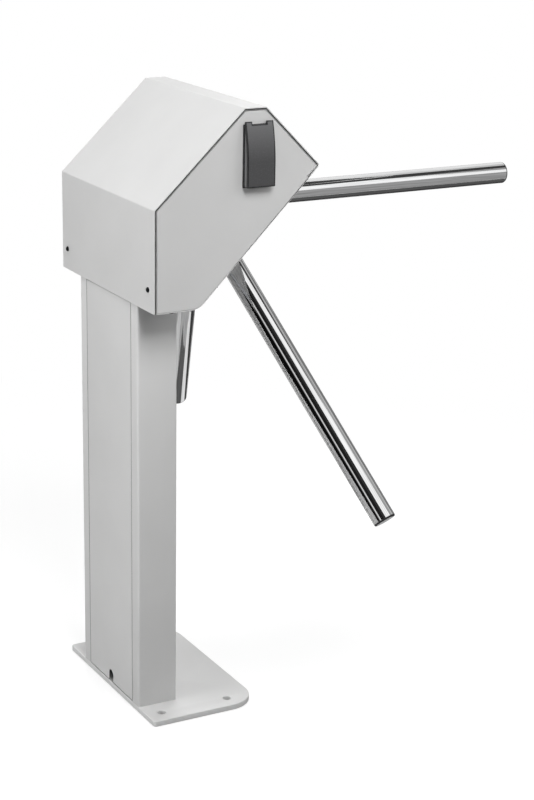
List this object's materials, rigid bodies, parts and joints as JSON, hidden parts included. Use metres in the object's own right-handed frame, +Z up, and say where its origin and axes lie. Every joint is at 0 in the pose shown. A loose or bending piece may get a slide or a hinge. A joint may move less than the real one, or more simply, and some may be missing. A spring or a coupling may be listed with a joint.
{
  "type": "tripod turnstile",
  "caption": "Floor-mounted tripod turnstile: a slotted post carries a folded sheet head with a tilted rotor, chromed arms, a locking and centring mechanism and a light in each cheek.",
  "frame": {"origin": "centre of the rectangle of the four floor anchor holes, on the floor", "axes": "+X horizontal, from the post towards the passage, along the level arm; +Y horizontal, along the walking direction; +Z up"},
  "size_m": [0.7906, 0.7956, 1.04],
  "materials": {
    "powder_coat": "light grey fine-textured powder coat",
    "zinc_plate": "zinc-plated sheet and turned steel",
    "steel": "machined steel",
    "chrome": "polished chrome",
    "cast_aluminium": "fine blasted aluminium",
    "black_steel": "black oxide",
    "black_plastic": "matt black",
    "smoked_plastic": "smoked grey, finely speckled",
    "copper_coil": "wound lacquered copper",
    "bronze": "turned bronze and brass",
    "circuit_board": "green solder mask"
  },
  "bodies": {
    "stand": {"base_plate": "powder_coat", "post": "powder_coat", "post_top_plate": "zinc_plate", "post_cover": "powder_coat", "cover_clips": "zinc_plate", "earth_stud": "bronze", "chassis_floor": "zinc_plate", "head_bolts": "zinc_plate", "left_cheek": "powder_coat", "right_cheek": "powder_coat", "face_plate": "powder_coat", "shell_screws": "black_steel", "hood": "powder_coat", "hood_screws": "black_steel", "hood_bushes": "zinc_plate", "mechanism_plate": "zinc_plate", "mechanism_brackets": "zinc_plate", "mechanism_bolts": "steel", "bearing_housing": "cast_aluminium", "bearing_outer_rings": "steel", "retaining_rings": "steel", "crank_block": "cast_aluminium", "crank_bushes": "bronze", "damper_body": "black_plastic", "spring_anchor": "steel", "solenoid_frames": "zinc_plate", "solenoid_coils": "copper_coil", "pawl_posts": "zinc_plate", "sensor_bracket": "zinc_plate", "position_sensors": "black_plastic", "inner_screws": "black_steel", "control_board": "circuit_board", "power_supply": "cast_aluminium", "wiring_loom": "black_plastic", "indicator_bezels": "black_plastic", "indicator_lenses": "smoked_plastic", "light_boards": "circuit_board", "centring_spring": "zinc_plate", "pawl_springs": "zinc_plate"},
    "rotor": {"hub": "cast_aluminium", "nose_cap": "chrome", "rotor_shaft": "steel", "shaft_fasteners": "zinc_plate", "arm_top": "chrome", "arm_left": "chrome", "arm_right": "chrome", "arm_caps": "chrome", "arm_screws": "black_steel", "lock_wheel": "steel", "drive_gear": "steel", "encoder_disc": "black_plastic", "bearing_inner_rings": "steel"},
    "balls": {"ball_cages": "steel"},
    "centring_crank": {"crank": "steel", "crank_pinion": "bronze"},
    "damper_rotor": {"damper_pinion": "bronze"},
    "pawl_left": {"left_pawl": "steel"},
    "pawl_right": {"right_pawl": "steel"},
    "plunger_left": {"left_plunger": "steel"},
    "plunger_right": {"right_plunger": "steel"}
  },
  "joints": [
    {"name": "rotor_spin", "type": "hinge", "parent": "stand", "child": "rotor", "pos_m": [0.06929, 0, 0.8591], "axis": [0.7071, 0, -0.7071], "continuous": true},
    {"name": "cage_spin", "type": "hinge", "parent": "stand", "child": "balls", "pos_m": [0.05268, 0, 0.87572], "axis": [0.7071, 0, -0.7071], "continuous": true},
    {"name": "crank_spin", "type": "hinge", "parent": "stand", "child": "centring_crank", "pos_m": [0.03252, 0.064, 0.89587], "axis": [0.7071, 0, -0.7071], "continuous": true, "deforming": ["centring_spring"]},
    {"name": "damper_spin", "type": "hinge", "parent": "stand", "child": "damper_rotor", "pos_m": [0.03252, -0.064, 0.89587], "axis": [0.7071, 0, -0.7071], "continuous": true},
    {"name": "left_lock", "type": "hinge", "parent": "stand", "child": "pawl_left", "pos_m": [0.05841, 0.02043, 0.95852], "axis": [-0.7071, 0, 0.7071], "range_deg": [0, 8], "stiffness_Nm_per_rad": 0.5, "springref_deg": -5.73, "deforming": ["pawl_springs"]},
    {"name": "right_lock", "type": "hinge", "parent": "stand", "child": "pawl_right", "pos_m": [0.05841, -0.02043, 0.95852], "axis": [0.7071, 0, -0.7071], "range_deg": [0, 8], "stiffness_Nm_per_rad": 0.5, "springref_deg": -5.73},
    {"name": "left_pull", "type": "slide", "parent": "stand", "child": "plunger_left", "axis": [0, 1, 0], "range_m": [0, 0.0043]},
    {"name": "right_pull", "type": "slide", "parent": "stand", "child": "plunger_right", "axis": [0, -1, 0], "range_m": [0, 0.0043]}
  ],
  "couplings": [
    {"joint": "cage_spin", "follows": "rotor_spin", "ratio": 0.4},
    {"joint": "crank_spin", "follows": "rotor_spin", "ratio": -3},
    {"joint": "damper_spin", "follows": "rotor_spin", "ratio": -3},
    {"joint": "left_pull", "follows": "left_lock", "m_per_rad": 0.029976},
    {"joint": "right_pull", "follows": "right_lock", "m_per_rad": 0.029976}
  ]
}
